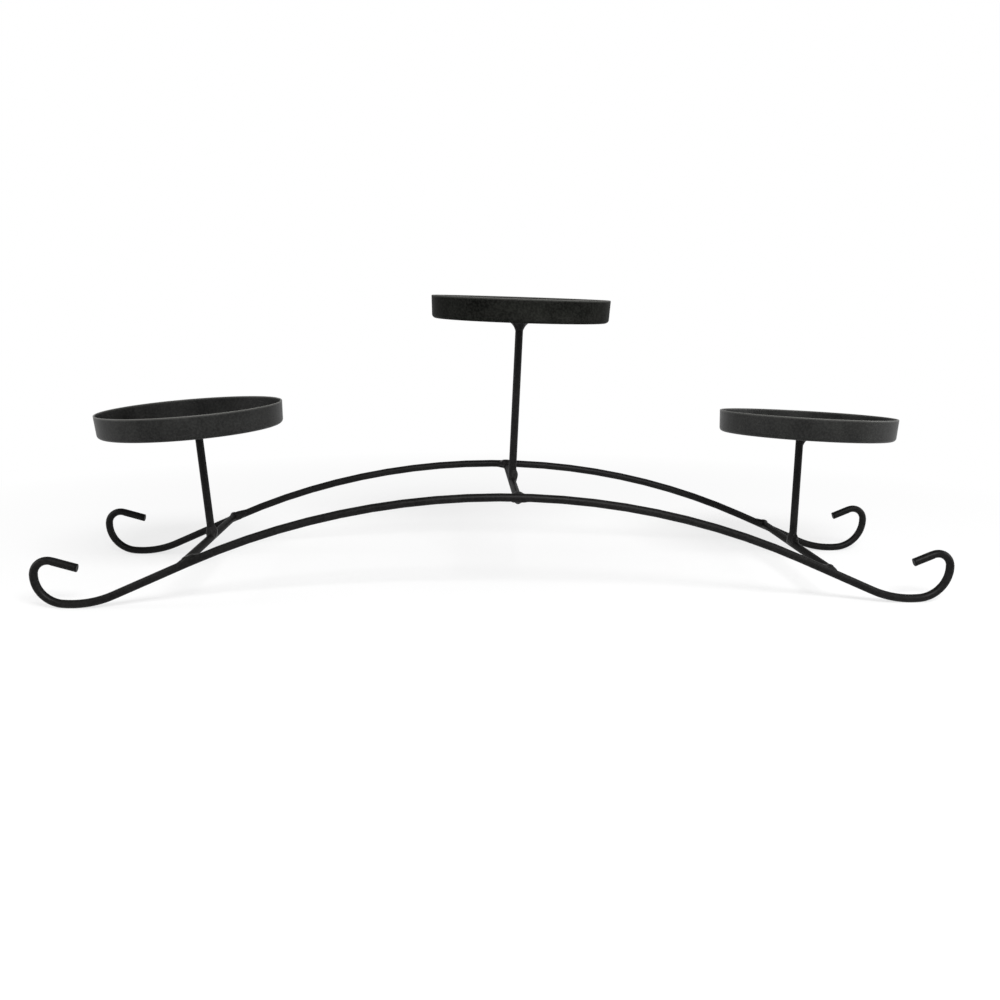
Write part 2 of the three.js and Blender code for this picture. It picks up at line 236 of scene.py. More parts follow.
def capped_skin(rings):
    """Points, quads and end triangles of a tube through the rings, closed by a pole in the middle of the
    first ring and of the last."""
    count, around, _ = rings.shape
    points = np.concatenate([rings.reshape(-1, 3), rings[[0, -1]].mean(axis=1)])
    step = np.arange(around)
    first = np.stack([(step + 1) % around, step, np.full(around, count * around)], axis=-1)
    base = (count - 1) * around
    last = np.stack([base + step, base + (step + 1) % around, np.full(around, count * around + 1)], axis=-1)
    return (points, *outward(points, grid_quads(count, around, False), np.concatenate([first, last])))


def looped_skin(outside, inside):
    """Points and quads of a closed ring of sections. Each runs along the outside and returns by the points
    inside."""
    sections = np.concatenate([outside, *(each[:, None, :] for each in inside)], axis=1)
    rows, columns, _ = sections.shape
    points = sections.reshape(-1, 3)
    no_caps = np.empty((0, 3), int)
    return (points, *outward(points, grid_quads(rows, columns, True), no_caps))


def add_piece(name, skin, coat, node, wear=None):
    """A smooth mesh object that stands for the CAD node and rides on the frame. The rim highlight, where it
    is given, says for each point how far a painted highlight lightens the coat there."""
    points, quads, caps = skin
    mesh = bpy.data.meshes.new(name)
    mesh.from_pydata(points.tolist(), [], quads.tolist() + caps.tolist())
    mesh.polygons.foreach_set("use_smooth", np.ones(len(mesh.polygons), bool))
    mesh.materials.append(coat)
    if wear is not None:
        mesh.attributes.new("wear", "FLOAT", "POINT").data.foreach_set("value", wear)
    mesh.update()
    if mesh.validate():
        raise RuntimeError(f"{name} has faces that do not hold together")
    piece = bpy.data.objects.new(name, mesh)
    bpy.context.collection.objects.link(piece)
    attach(piece, "root")
    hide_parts(node)


# ---- Places read from the frame ------------------------------------------------------------------


def node_corners(node):
    """Each corner point of a node once, so that their mean and spread don't depend on how it is faceted."""
    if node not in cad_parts:
        raise RuntimeError(f"the frame has no {node}")
    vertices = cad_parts[node].data.vertices
    points = np.empty(3 * len(vertices))
    vertices.foreach_get("co", points)
    return np.unique(points.reshape(-1, 3).round(7), axis=0)


def spread_axes(points):
    """The mean point, and the directions in which the points spread most to least."""
    middle = points.mean(axis=0)
    return middle, np.linalg.svd(points - middle, full_matrices=False)[2]


def rod_line(node):
    """Centres of a straight rod's two ends, the lower or front one first."""
    points = node_corners(node)
    middle, axes = spread_axes(points)
    axis = axes[0] if axes[0] @ (0.0, 1.0, 1.0) > 0 else -axes[0]
    along = (points - middle) @ axis
    return middle + along.min() * axis, middle + along.max() * axis


def tray_seat(node):
    """Middle of a tray's underside, its upward normal, its rim radius and its height."""
    points = node_corners(node)
    middle, axes = spread_axes(points)
    normal = axes[2] if axes[2][2] > 0 else -axes[2]
    height = (points - middle) @ normal
    radius = np.linalg.norm(points - middle - height[:, None] * normal, axis=1).max()
    return middle + height.min() * normal, normal, radius, np.ptp(height)


# ---- Rods ----------------------------------------------------------------------------------------

RUN_STEPS = 24  # points on a straight run
BEND_STEP = math.radians(2.5)  # most turn from one point of a bend to the next
LEAST_BEND_STEPS = 4
EDGE_STEPS = 6  # points on the rounding of a cut end
FACE_RING = 0.12 * MM  # from that rounding to a last ring on the flat face
CLEAR_OF_FEET = 0.235  # as far out as this, each place x of a rail is passed only once


def bend_chain(bends, slope):
    """Centreline of a rod as distances out and up, with its slope and its curvature at each point. The slope
    changes evenly along a bend, which is an arc, and a straight run keeps it."""
    start = np.zeros(2)
    places, slopes, bendings = [start[None]], [np.array([slope])], [np.zeros(1)]
    for radius, end_slope, run in bends:
        if radius == 0:
            part = np.arange(1, RUN_STEPS + 1) / RUN_STEPS
            here = np.full(RUN_STEPS, slope)
            place = start + run * part[:, None] * (math.cos(slope), math.sin(slope))
            bending = 0.0
        else:
            steps = max(LEAST_BEND_STEPS, math.ceil(abs(end_slope - slope) / BEND_STEP))
            here = slope + (end_slope - slope) * (np.arange(1, steps + 1) / steps)
            turn = radius * math.copysign(1.0, end_slope - slope)
            place = start + turn * np.stack(
                [np.sin(here) - math.sin(slope), math.cos(slope) - np.cos(here)], axis=-1)
            slope = end_slope
            bending = 1.0 / radius
        places.append(place)
        slopes.append(here)
        bendings.append(np.full(len(here), bending))
        start = place[-1]
    return np.concatenate(places), np.concatenate(slopes), np.concatenate(bendings)


def foot_bends(rod, rail, end):
    """Everything between the arch and the cut end, as (radius, end slope, run), for the front or rear rail
    and its left or right end."""
    return [
        (0.0, None, rod.straight_run),
        (rod.foot_radius, rod.foot_slope, 0.0),
        (getattr(rod, f"{rail}_{end}_scroll"), rod.scroll_slope, 0.0),
        (getattr(rod, f"{end}_curl"), getattr(rod, f"{end}_curl_slope"), 0.0),
        (0.0, None, getattr(rod, f"{end}_tip")),
    ]


def arch_size(rod):
    """Radius of the arch and the place x of its crest. The arch takes up the length that the widest foot at
    each end leaves inside the frame's box."""
    left_reach, right_reach = (
        max(bend_chain(foot_bends(rod, rail, end), -rod.arch_slope)[0][:, 0].max() for rail in RAILS)
        for end in ENDS
    )
    boxes = [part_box(f"{rail}_rail") for rail in RAILS]
    left = min(low.x for low, _ in boxes) + rod.diameter / 2.0
    right = max(high.x for _, high in boxes) - rod.diameter / 2.0
    radius = (right - left - left_reach - right_reach) / (2.0 * math.sin(rod.arch_slope))
    return radius, (left + left_reach + right - right_reach) / 2.0


def rail_centreline(rod, rail):
    """Points, tangents and curvature of a whole rail from its left tip to its right tip."""
    radius, crest_x = arch_size(rod)
    low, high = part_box(f"{rail}_rail")
    level = (low.y + high.y) / 2.0
    crest = high.z - rod.diameter / 2.0
    parts = []
    for end, side in ENDS.items():
        bends = [(radius, -rod.arch_slope, 0.0), *foot_bends(rod, rail, end)]
        place, slope, bending = bend_chain(bends, 0.0)
        across = crest_x + side * place[:, 0]
        points = np.stack([across, np.full(len(place), level), crest + place[:, 1]], axis=-1)
        tangents = np.stack([np.cos(slope), np.zeros(len(slope)), side * np.sin(slope)], axis=-1)
        parts.append((points, tangents, bending))
    left, right = parts
    return [np.concatenate([before[::-1], after[1:]]) for before, after in zip(left, right)]


def rail_at(rod, x):
    """Height of the rails' centre over a place x between the feet, and their tangent there."""
    points, tangents, _ = rail_centreline(rod, "front")
    between = np.abs(points[:, 0]) < CLEAR_OF_FEET
    height, rise = (np.interp(x, points[between, 0], values[between, 2]) for values in (points, tangents))
    return height, unit([math.sqrt(1.0 - rise ** 2), 0.0, rise])


def swept_rod(rod, points, tangents, across, squeeze, slant):
    """Rings of the rod swept along a centreline. A ring is a circle of the rod's radius in the plane across
    the tangent, pressed together by `squeeze` in the plane of the bend. Each end runs over a quarter circle
    onto a flat face, and the face leans by the slant."""
    radius, edge = rod.diameter / 2.0, rod.cut_edge
    turn = full_turn(rod.sides)
    outward_dir = np.cross(tangents, across)
    last = len(points) - 1
    ease = np.linspace(0.0, math.pi / 2.0, EDGE_STEPS)[:-1]
    start = [(0, edge * (1.0 - math.cos(t)), radius - edge * (1.0 - math.sin(t))) for t in ease]
    start = [(0, 0.0, radius - edge - FACE_RING), *start]
    middle = [(0, edge, radius), *((index, 0.0, radius) for index in range(1, last)), (last, -edge, radius)]
    finish = [(last, -offset, reach) for _, offset, reach in start[::-1]]
    rows = [*start, *middle, *finish]
    index, offset, reach = (np.array(column) for column in zip(*rows))
    up = reach[:, None] * (1.0 - squeeze[index])[:, None] * np.sin(turn)
    side = reach[:, None] * np.cos(turn)
    lean = np.zeros(len(rows))
    lean[: len(start) + 1] = -slant
    lean[-len(start) - 1:] = slant
    shift = offset[:, None] + lean[:, None] * (up - radius)
    return (points[index][:, None]
            + up[..., None] * outward_dir[index][:, None]
            + side[..., None] * across
            + shift[..., None] * tangents[index][:, None])


def straight_rod(rod, node):
    """Rings of a straight rod between the ends that its node has in the frame."""
    low, high = rod_line(node)
    axis = unit(high - low)
    part = np.linspace(0.0, 1.0, RUN_STEPS)[:, None]
    points = low + part * (high - low)
    across = unit(np.cross(axis, (1.0, 0.0, 0.0)))
    tangents = np.tile(axis, (RUN_STEPS, 1))
    return swept_rod(rod, points, tangents, across, np.zeros(RUN_STEPS), 0.0)


def add_straight_rods(scene, part, piece):
    """The straight rods of one kind: one for each pillar, with the coat for that kind."""
    # The crossbars get a shaded copy of the rod coat, with less specular reflection: painted shade.
    coat = powder_coat(scene, "crossbar" if part == "crossbar" else "rod")
    for name in PILLARS:
        node = f"{name}_{part}"
        skin = capped_skin(straight_rod(scene.candle_rod, node))
        add_piece(f"{name}_{piece}", skin, coat, node)


class CANDLE_OT_bend_rails(bpy.types.Operator):
    """Bend the two rails, each from one rod with an arch, two feet, two scrolls and two cut tips"""

    bl_idname = "candle_holder.bend_rails"
    bl_label = "Bend Rails"

    def execute(self, context):
        rod = context.scene.candle_rod
        coat = powder_coat(context.scene, "rod")
        for name in RAILS:
            points, tangents, bending = rail_centreline(rod, name)
            squeeze = rod.flattening * (bending / bending.max()) ** 2
            across = np.array([0.0, 1.0, 0.0])
            rings = swept_rod(rod, points, tangents, across, squeeze, math.tan(rod.cut_slant))
            add_piece(f"{name}_bent_rail", capped_skin(rings), coat, f"{name}_rail")
        return {"FINISHED"}


class CANDLE_OT_lay_crossbars(bpy.types.Operator):
    """Lay the three crossbars between the rails"""

    bl_idname = "candle_holder.lay_crossbars"
    bl_label = "Lay Crossbars"

    def execute(self, context):
        add_straight_rods(context.scene, "crossbar", "cross_rod")
        return {"FINISHED"}


class CANDLE_OT_stand_stems(bpy.types.Operator):
    """Stand the three stems on the crossbars"""

    bl_idname = "candle_holder.stand_stems"
    bl_label = "Stand Stems"

    def execute(self, context):
        add_straight_rods(context.scene, "stem", "stem_rod")
        return {"FINISHED"}


# ---- Trays ---------------------------------------------------------------------------------------

CORNER_STEPS = 14  # points on the outside of the corner
INNER_CORNER_STEPS = 10
WALL_STEPS = 14
RIM_STEPS = 15
FLOOR_PARTS = np.linspace(0.02, 0.995, 30)  # where the flat floor has points, as parts of its radius
WALL_LOBES = (2, 3, 5)  # waves round the wall
WALL_MARGIN = 1.1  # a little over the waves' greatest sum, 1/2 + 1/3 + 1/5
TRAY_PHASES = {"left": 0.9, "centre": 2.6, "right": 4.3}  # where each tray's waves start


def arc_points(centre, radius, first, last, steps):
    """Points on an arc about a centre, between two angles in degrees."""
    turn = np.radians(np.linspace(first, last, steps))
    return np.stack([centre[0] + radius * np.cos(turn), centre[1] + radius * np.sin(turn)], axis=-1)


def tray_profile(tray, rim_radius, height):
    """Half section of the tray as (radius, height): out along the underside, round the corner, up the
    wall, over the rounded rim, down the inside and back along the floor."""
    sheet, corner = tray.sheet, tray.corner
    corner_centre = (rim_radius - tray.draft - corner, corner)
    rim_centre = (rim_radius - sheet / 2.0, height - sheet / 2.0)
    outer_foot = np.array([corner_centre[0] + corner, corner])
    outer_top = np.array([rim_radius, rim_centre[1]])
    inner_top = np.array([rim_radius - sheet, rim_centre[1]])
    inner_foot = np.array([corner_centre[0] + corner - sheet, corner])
    wall = np.linspace(0.0, 1.0, WALL_STEPS)[1:-1, None]
    dish = tray.dish * (1.0 - FLOOR_PARTS ** 2) ** 2
    under = np.stack([FLOOR_PARTS * corner_centre[0], np.zeros_like(dish)], axis=-1)
    floor = np.stack([FLOOR_PARTS * corner_centre[0], sheet - dish], axis=-1)[::-1]
    return np.concatenate([
        under,
        arc_points(corner_centre, corner, -90.0, 0.0, CORNER_STEPS),
        outer_foot + wall * (outer_top - outer_foot),
        arc_points(rim_centre, sheet / 2.0, 0.0, 180.0, RIM_STEPS),
        inner_top + wall * (inner_foot - inner_top),
        arc_points(corner_centre, corner - sheet, 0.0, -90.0, INNER_CORNER_STEPS),
        floor,
    ])


def tray_rings(tray, node, phase):
    """The half section turned about the tray's own axis, and how far a painted highlight lightens the coat at
    each of its points: it grows towards the top of the rim, standing in for the light caught by the rounded
    rim. The wall waves a little round the tray, the more the higher up. The middles of the underside and the
    floor come last and have no painted highlight."""
    origin, normal, rim_radius, height = tray_seat(node)
    across, deep = level_axes(normal)
    turn = full_turn(tray.sides)
    wave = sum(np.sin(lobes * turn + phase * lobes) / lobes for lobes in WALL_LOBES)
    profile = tray_profile(tray, rim_radius - tray.ripple * WALL_MARGIN, height)
    lift = np.clip(profile[:, 1] / height, 0.0, 1.0)
    radius = profile[:, :1] + tray.ripple * lift[:, None] * wave
    rings = (origin + profile[:, 1, None, None] * normal
             + (radius * np.cos(turn))[..., None] * across
             + (radius * np.sin(turn))[..., None] * deep)
    # Painted highlight: strongest at the top of the rim, fading out a little way below it.
    highlight_share = np.clip(1.0 - (height - profile[:, 1]) / tray.rim_highlight_band, 0.0, 1.0)
    return rings, np.append(np.repeat(highlight_share, tray.sides), [0.0, 0.0])


class CANDLE_OT_press_trays(bpy.types.Operator):
    """Press the three trays from sheet"""

    bl_idname = "candle_holder.press_trays"
    bl_label = "Press Trays"

    def execute(self, context):
        tray = context.scene.candle_tray
        for name in PILLARS:
            node = f"{name}_tray"
            # One copy of the coat for each tray, each lit or shaded by its own colour and specular level as
            # painted light and shade.
            coat = powder_coat(context.scene, node)
            rings, wear = tray_rings(tray, node, TRAY_PHASES[name])
            add_piece(f"{name}_dish", capped_skin(rings), coat, node, wear)
        return {"FINISHED"}


# ---- Weld beads ----------------------------------------------------------------------------------


class Bead(NamedTuple):
    """One bead as it was laid, in millimetres and degrees. Angles go round the joined rod."""

    toe: float  # how far it runs up the joined rod
    back: float  # how far it runs along the base against its axis
    ahead: float  # and with its axis
    wrap: float  # how far it wraps round the base
    fullness: float  # 0 hugs the corner, 1 goes straight from toe to toe
    lumps: tuple  # place, half width and height of each


class Fillet(NamedTuple):
    """The bead under one tray, in millimetres."""

    toe: float  # how far it runs down the stem, on its wider side
    left: float  # how far it reaches to the left
    right: float  # and to the right
    fullness: float  # as for a bead


# On the rails an angle of 0 is to the right, 90 down and -90 up. On the crossbars 0 is to the rear and 90 to
# the left.
RAIL_BEADS = {
    ("left", "front"): Bead(4.0, 3.4, 8.0, 2.2, 0.50, ((170.0, 60.0, 0.2), (-35.0, 60.0, 1.0))),
    ("left", "rear"): Bead(3.6, 3.8, 7.0, 3.2, 0.70, ((-60.0, 85.0, 1.1), (60.0, 50.0, 0.6))),
    ("centre", "front"): Bead(4.6, 3.4, 5.8, 2.7, 0.40, ((-92.0, 56.0, 1.7), (95.0, 95.0, 0.4))),
    ("centre", "rear"): Bead(3.4, 5.0, 2.2, 3.4, 0.70, ((-104.0, 85.0, 2.5),)),
    ("right", "front"): Bead(3.6, 5.0, 2.8, 2.4, 0.60, ((-60.0, 60.0, 0.7), (110.0, 60.0, 0.6))),
    ("right", "rear"): Bead(3.0, 5.0, 3.2, 3.0, 0.70, ((-108.0, 88.0, 0.9),)),
}
STEM_BEADS = {
    "left": Bead(4.6, 3.4, 5.0, 2.6, 0.50, ((-70.0, 65.0, 1.3), (110.0, 55.0, 0.7))),
    "centre": Bead(5.0, 3.4, 2.8, 2.4, 0.55, ((-90.0, 60.0, 1.2),)),
    "right": Bead(4.4, 4.8, 4.6, 2.4, 0.45, ((65.0, 55.0, 0.9), (-140.0, 55.0, 0.8))),
}
TRAY_BEADS = {
    "left": Fillet(1.6, 1.0, 0.8, 0.30),
    "centre": Fillet(6.6, 6.2, 7.0, 0.44),
    "right": Fillet(7.2, 1.2, 7.6, 0.44),
}
RAIL_PHASE, TRAY_PHASE, STEM_PHASE = 1.0, 4.0, 8.0  # where the waves of the first bead of each kind start
ROD_WAVES = ((3, 0.10), (7, 0.06))  # number round the joint and height, for the toes of the beads
FILLET_WAVES = ((3, 0.07), (8, 0.05))
TOE_DEPTH = 0.03 * MM  # how deep the toes lie under the rods' surfaces
TOE_SOFTNESS = 1.4  # more than 1 lets a bead run out softly at its toes
TOE_PER_LUMP = 2.0  # a lump moves its toe up the rod by this many times its height
TOE_EASE = 0.35  # the toe dips no closer than this to the base's axis, in radii
SQUARENESS = 0.15  # the smaller, the squarer the bead's outline along the base
LEAST_FILLET_TOE = 0.4  # toe of a fillet on its narrow side, as a part of its toe
FILLET_RIPPLE = 0.35  # height of a fillet's waves, as a part of a bead's
INNER_REACH = 0.8  # where a fillet turns back inside the sheet, as a part of its reach
TRAY_SINK = 0.4 * MM  # how deep it turns back there
TRAY_TOUCH = 0.02 * MM  # how far its toe lies inside the sheet


def bump_at(turn, place, width):
    """A smooth hill of height 1 round the joint: the cosine bell of the distance from its place."""
    distance = np.abs((turn - math.radians(place) + math.pi) % (2.0 * math.pi) - math.pi)
    return 0.5 + 0.5 * np.cos(math.pi * np.clip(distance / math.radians(width), 0.0, 1.0))


def bead_curve(start, corner, finish, fullness, across):
    """Quadratic curves from the toe on the joined rod to the toe on the base, drawn to a point between
    their corner and the middle of their chord. Also how far along each point lies, from 0 to 1."""
    part = np.linspace(0.0, 1.0, across)[None, :, None]
    start, corner, finish = (each[:, None, :] for each in (start, corner, finish))
    pull = corner + fullness * ((start + finish) / 2.0 - corner)
    return (1 - part) ** 2 * start + 2 * part * (1 - part) * pull + part ** 2 * finish, part


def swollen(curve, part, swell, lift):
    """The curve moved outwards by the swell times a power of the sine along it, which lets the toes run
    out softly. Both toes lie just below the rods."""
    hill = np.clip(np.sin(math.pi * part), 0.0, 1.0) ** TOE_SOFTNESS
    return curve + (hill * swell[..., None] - TOE_DEPTH) * lift


def away_from(points, place, axis):
    """The shortest vector from an axis to each point."""
    away = points - place
    return away - (away @ axis)[..., None] * axis


def laid_over(points, place, axis, radius, begins):
    """Points pushed out to a rod's surface wherever they lie nearer to its axis than its radius. The push
    fades out over one radius before the place along the axis where the rod begins."""
    away = away_from(points, place, axis)
    distance = np.linalg.norm(away, axis=-1)
    hold = np.clip(((points - place) @ axis - begins) / radius + 1.0, 0.0, 1.0)
    return points + (hold * np.clip(radius - distance, 0.0, None) / distance)[..., None] * away


def softly_limited(value):
    """A value kept between -1 and 1: it is divided by the sixth root of 1 plus its sixth power."""
    return value / (1.0 + value ** 6) ** (1.0 / 6.0)


def wobble(turn, phase, waves):
    """A factor near 1 that changes round a joint: 1 plus a sine for each wave, each shifted further."""
    shifted = (height * np.sin(count * turn + step * phase) for step, (count, height) in enumerate(waves, 1))
    return 1.0 + sum(shifted)[:, None]


def ripples(turn, across, phase):
    """Small waves over a bead, between -1 and 1, which run slantwise round and across the joint."""
    part = np.linspace(0.0, 1.0, across)[None, :]
    turn = turn[:, None]
    return (0.5 * np.sin(5 * turn + 4 * part + phase) * np.cos(3 * turn - 6 * part + 2 * phase)
            + 0.3 * np.sin(9 * turn + 7 * part + 3 * phase)
            + 0.2 * np.sin(14 * turn - 11 * part + phase))


def rod_bead(sizes, radius, centre, base_axis, rod_axis, offset, begins, bead, phase):
    """Bead where a rod ends on the side of another. At each angle round the joined rod, one toe lies some
    way up that rod, and the other on the base, moved along it by a squarer cosine and wrapped round it.
    Between its toes the bead lies on both rods and swells away from them. `offset` is how far the joined
    rod's axis passes beside the base's, and `begins` how far from it the joined rod's end lies. Inside,
    the bead returns through the heart of the joint."""
    turn = full_turn(sizes.around)
    cosine, sine = np.cos(turn)[:, None], np.sin(turn)[:, None]
    uneven = wobble(turn, phase, ROD_WAVES)
    up = unit(rod_axis - (rod_axis @ base_axis) * base_axis)
    beside = np.cross(up, base_axis)
    sideways = softly_limited((offset + radius * sine) / radius)
    meeting = radius * np.sqrt(1.0 - sideways ** 2)
    eased = np.sqrt(meeting ** 2 + (TOE_EASE * radius) ** 2)
    lumps = MM * sum(height * bump_at(turn, place, width) for place, width, height in bead.lumps)[:, None]
    up_rod = eased + bead.toe * MM * uneven + TOE_PER_LUMP * lumps
    shell = centre + offset * beside + radius * (cosine * base_axis + sine * beside)
    start = shell + up_rod * rod_axis
    corner = shell + meeting * up
    reach = radius + np.where(cosine > 0, bead.ahead, bead.back) * MM * uneven
    around_base = np.arcsin(sideways) + bead.wrap * MM / radius * sine * uneven
    on_base = np.sin(around_base) * beside + np.cos(around_base) * up
    along_base = cosine / (cosine ** 2 + SQUARENESS) ** 0.25 * reach * base_axis
    finish = centre + along_base + radius * on_base
    heart = centre + offset * beside + sizes.sink * radius * (cosine * base_axis + sine * beside)
    inside = [centre + along_base + sizes.sink * radius * on_base, heart, heart + up_rod * rod_axis]
    curve, part = bead_curve(start, corner, finish, bead.fullness, sizes.across)
    base, joined = (centre, base_axis), (centre + offset * beside, rod_axis)
    curve = laid_over(laid_over(curve, *base, radius, -math.inf), *joined, radius, begins)
    lift = unit((1.0 - part) * unit(away_from(curve, *joined)) + part * unit(away_from(curve, *base)))
    swell = sizes.film + lumps + sizes.ripple * ripples(turn, sizes.across, phase)
    return looped_skin(swollen(curve, part, swell, lift), inside)


def tray_bead(sizes, radius, seat, normal, stem_axis, fillet, phase):
    """Fillet between a stem's head and the underside of its tray: one toe runs down the stem and the other
    out along the tray, by different amounts to the left and to the right."""
    turn = full_turn(sizes.around)
    cosine, sine = np.cos(turn)[:, None], np.sin(turn)[:, None]
    across, deep = level_axes(normal)
    uneven = wobble(turn, phase, FILLET_WAVES)
    side = (fillet.left + (fillet.right - fillet.left) * (0.5 + 0.5 * cosine)) * MM
    toe = LEAST_FILLET_TOE + (1.0 - LEAST_FILLET_TOE) * side / (max(fillet.left, fillet.right) * MM)
    outwards = cosine * across + sine * deep
    corner = seat + radius * outwards
    start = corner - fillet.toe * MM * toe * uneven * stem_axis
    finish = seat + (radius + side * uneven) * outwards + TRAY_TOUCH * normal
    sunk = (1.0 - sizes.sink) * radius * outwards
    in_sheet = TRAY_SINK * normal
    turns_back = seat + (radius + INNER_REACH * side) * outwards + in_sheet
    inside = [turns_back, corner - sunk + in_sheet, start - sunk]
    curve, part = bead_curve(start, corner, finish, fillet.fullness, sizes.across)
    swell = FILLET_RIPPLE * sizes.ripple * ripples(turn, sizes.across, phase)
    outside = swollen(curve, part, swell, unit(outwards - normal)[:, None])
    return looped_skin(outside, inside)


def add_bead(scene, joint, skin):
    """The piece for the bead of one joint."""
    add_piece(f"{joint}_bead", skin, powder_coat(scene, "weld"), f"{joint}_weld")


class CANDLE_OT_weld_rails(bpy.types.Operator):
    """Lay the beads between the crossbars and the rails"""

    bl_idname = "candle_holder.weld_rails"
    bl_label = "Weld Rails"

    def execute(self, context):
        rod, sizes = context.scene.candle_rod, context.scene.candle_weld
        for phase, ((name, place), bead) in enumerate(RAIL_BEADS.items()):
            front, rear = rod_line(f"{name}_crossbar")
            height, tangent = rail_at(rod, front[0])
            level = sum(corner.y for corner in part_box(f"{place}_rail")) / 2.0
            centre = np.array([front[0], level, height])
            end, inwards = (front, unit(rear - front)) if place == "front" else (rear, unit(front - rear))
            beside = np.cross(inwards, tangent)
            offset = (front - centre) @ beside
            centre = centre + (front - centre) @ tangent * tangent
            begins = (end - centre) @ inwards
            if place == "rear":
                bead = bead._replace(lumps=tuple((-where, *rest) for where, *rest in bead.lumps))
            skin = rod_bead(sizes, rod.diameter / 2.0, centre, tangent, inwards, offset, begins, bead,
                            RAIL_PHASE + phase)
            add_bead(context.scene, f"{name}_{place}_rail", skin)
        return {"FINISHED"}


class CANDLE_OT_weld_stems(bpy.types.Operator):
    """Lay the beads round the feet of the stems"""

    bl_idname = "candle_holder.weld_stems"
    bl_label = "Weld Stem Feet"

    def execute(self, context):
        rod, sizes = context.scene.candle_rod, context.scene.candle_weld
        for phase, (name, bead) in enumerate(STEM_BEADS.items()):
            low, high = rod_line(f"{name}_stem")
            front, rear = rod_line(f"{name}_crossbar")
            axis = unit(high - low)
            centre = low - axis * (low[2] - front[2]) / axis[2]
            along = unit(rear - front)
            begins = (low - centre) @ axis
            skin = rod_bead(sizes, rod.diameter / 2.0, centre, along, axis, 0.0, begins, bead,
                            STEM_PHASE + phase)
            add_bead(context.scene, f"{name}_stem", skin)
        return {"FINISHED"}


class CANDLE_OT_weld_trays(bpy.types.Operator):
    """Lay the fillets between the stems and the trays"""

    bl_idname = "candle_holder.weld_trays"
    bl_label = "Weld Trays"

    def execute(self, context):
        rod, sizes = context.scene.candle_rod, context.scene.candle_weld
        for phase, (name, fillet) in enumerate(TRAY_BEADS.items()):
            low, high = rod_line(f"{name}_stem")
            origin, normal, _, _ = tray_seat(f"{name}_tray")
            axis = unit(high - low)
            seat = high + axis * ((origin - high) @ normal) / (axis @ normal)
            skin = tray_bead(sizes, rod.diameter / 2.0, seat, normal, axis, fillet, TRAY_PHASE + phase)
            add_bead(context.scene, f"{name}_tray", skin)
        return {"FINISHED"}


# ---- Coating -------------------------------------------------------------------------------------

# Noise in the coat, as waves for each metre, detail and roughness.
CLOUDS = (38.0, 4.0, 0.6)
SPECKLE = (780.0, 2.0, 0.6)
GRAIN = (2600.0, 2.0, 0.6)
BEAD_LUMPS = (420.0, 3.0, 0.55)
PEEL_NOISE = (2.0, 0.45)  # detail and roughness alone
BEAD_LUMP_DEPTH = 0.35 * MM
PEEL_PER_GRAIN = 4.0  # how many times deeper the peel is than the grain
# Which part of a noise's range counts, and what it does.
CLOUD_RANGE = (0.32, 0.68)
SPECKLE_RANGE = (0.40, 0.60)
ROUGH_RANGE = (0.25, 0.75)
ROUGH_CHANGE = (-0.06, 0.07)
DARKEST, PALEST = 0.35, 1.80  # shades of the coat, as parts of its colour
CLOUDINESS, TRAY_CLOUDINESS = 0.25, 0.36  # how far the clouds go either way, in parts of those shades
HALF_TONE = 0.5  # the clouds and the speckle take half of the shades each


def new_node(tree, kind, **values):
    """A shader node with its settings and unlinked inputs filled in."""
    node = tree.nodes.new(kind)
    for key, value in values.items():
        if hasattr(node, key):
            setattr(node, key, value)
        else:
            node.inputs[key.replace("_", " ").title()].default_value = value
    return node


def noise(tree, coordinates, scale, detail, roughness):
    """Noise over the object's own coordinates; the scale is in waves for each metre."""
    node = new_node(tree, "ShaderNodeTexNoise", Scale=scale, Detail=detail, Roughness=roughness)
    tree.links.new(coordinates, node.inputs["Vector"])
    return node.outputs["Fac"]


def spread(tree, value, low, high, to_low, to_high):
    """Carries a value from one range to another."""
    node = new_node(tree, "ShaderNodeMapRange", From_Min=low, From_Max=high, To_Min=to_low, To_Max=to_high)
    tree.links.new(value, node.inputs["Value"])
    return node.outputs["Result"]


def blend_colours(tree, factor, low, high):
    """Mixes two colours by a factor. The first may be a socket."""
    node = new_node(tree, "ShaderNodeMix", data_type="RGBA")
    first, second = node.inputs[6], node.inputs[7]
    if isinstance(low, bpy.types.NodeSocket):
        tree.links.new(low, first)
    else:
        first.default_value = (*low, 1.0)
    second.default_value = (*high, 1.0)
    tree.links.new(factor, node.inputs[0])
    return node.outputs[2]


def combined(tree, operation, *values):
    """Several sockets added up or multiplied."""
    total = values[0]
    for value in values[1:]:
        node = new_node(tree, "ShaderNodeMath", operation=operation, use_clamp=True)
        tree.links.new(total, node.inputs[0])
        tree.links.new(value, node.inputs[1])
        total = node.outputs[0]
    return total


def stacked_bump(tree, layers):
    """Bumps on top of each other, each given as (height, distance in metres)."""
    normal = None
    for height, distance in layers:
        node = new_node(tree, "ShaderNodeBump", Distance=distance)
        tree.links.new(height, node.inputs["Height"])
        if normal:
            tree.links.new(normal, node.inputs["Normal"])
        normal = node.outputs["Normal"]
    return normal


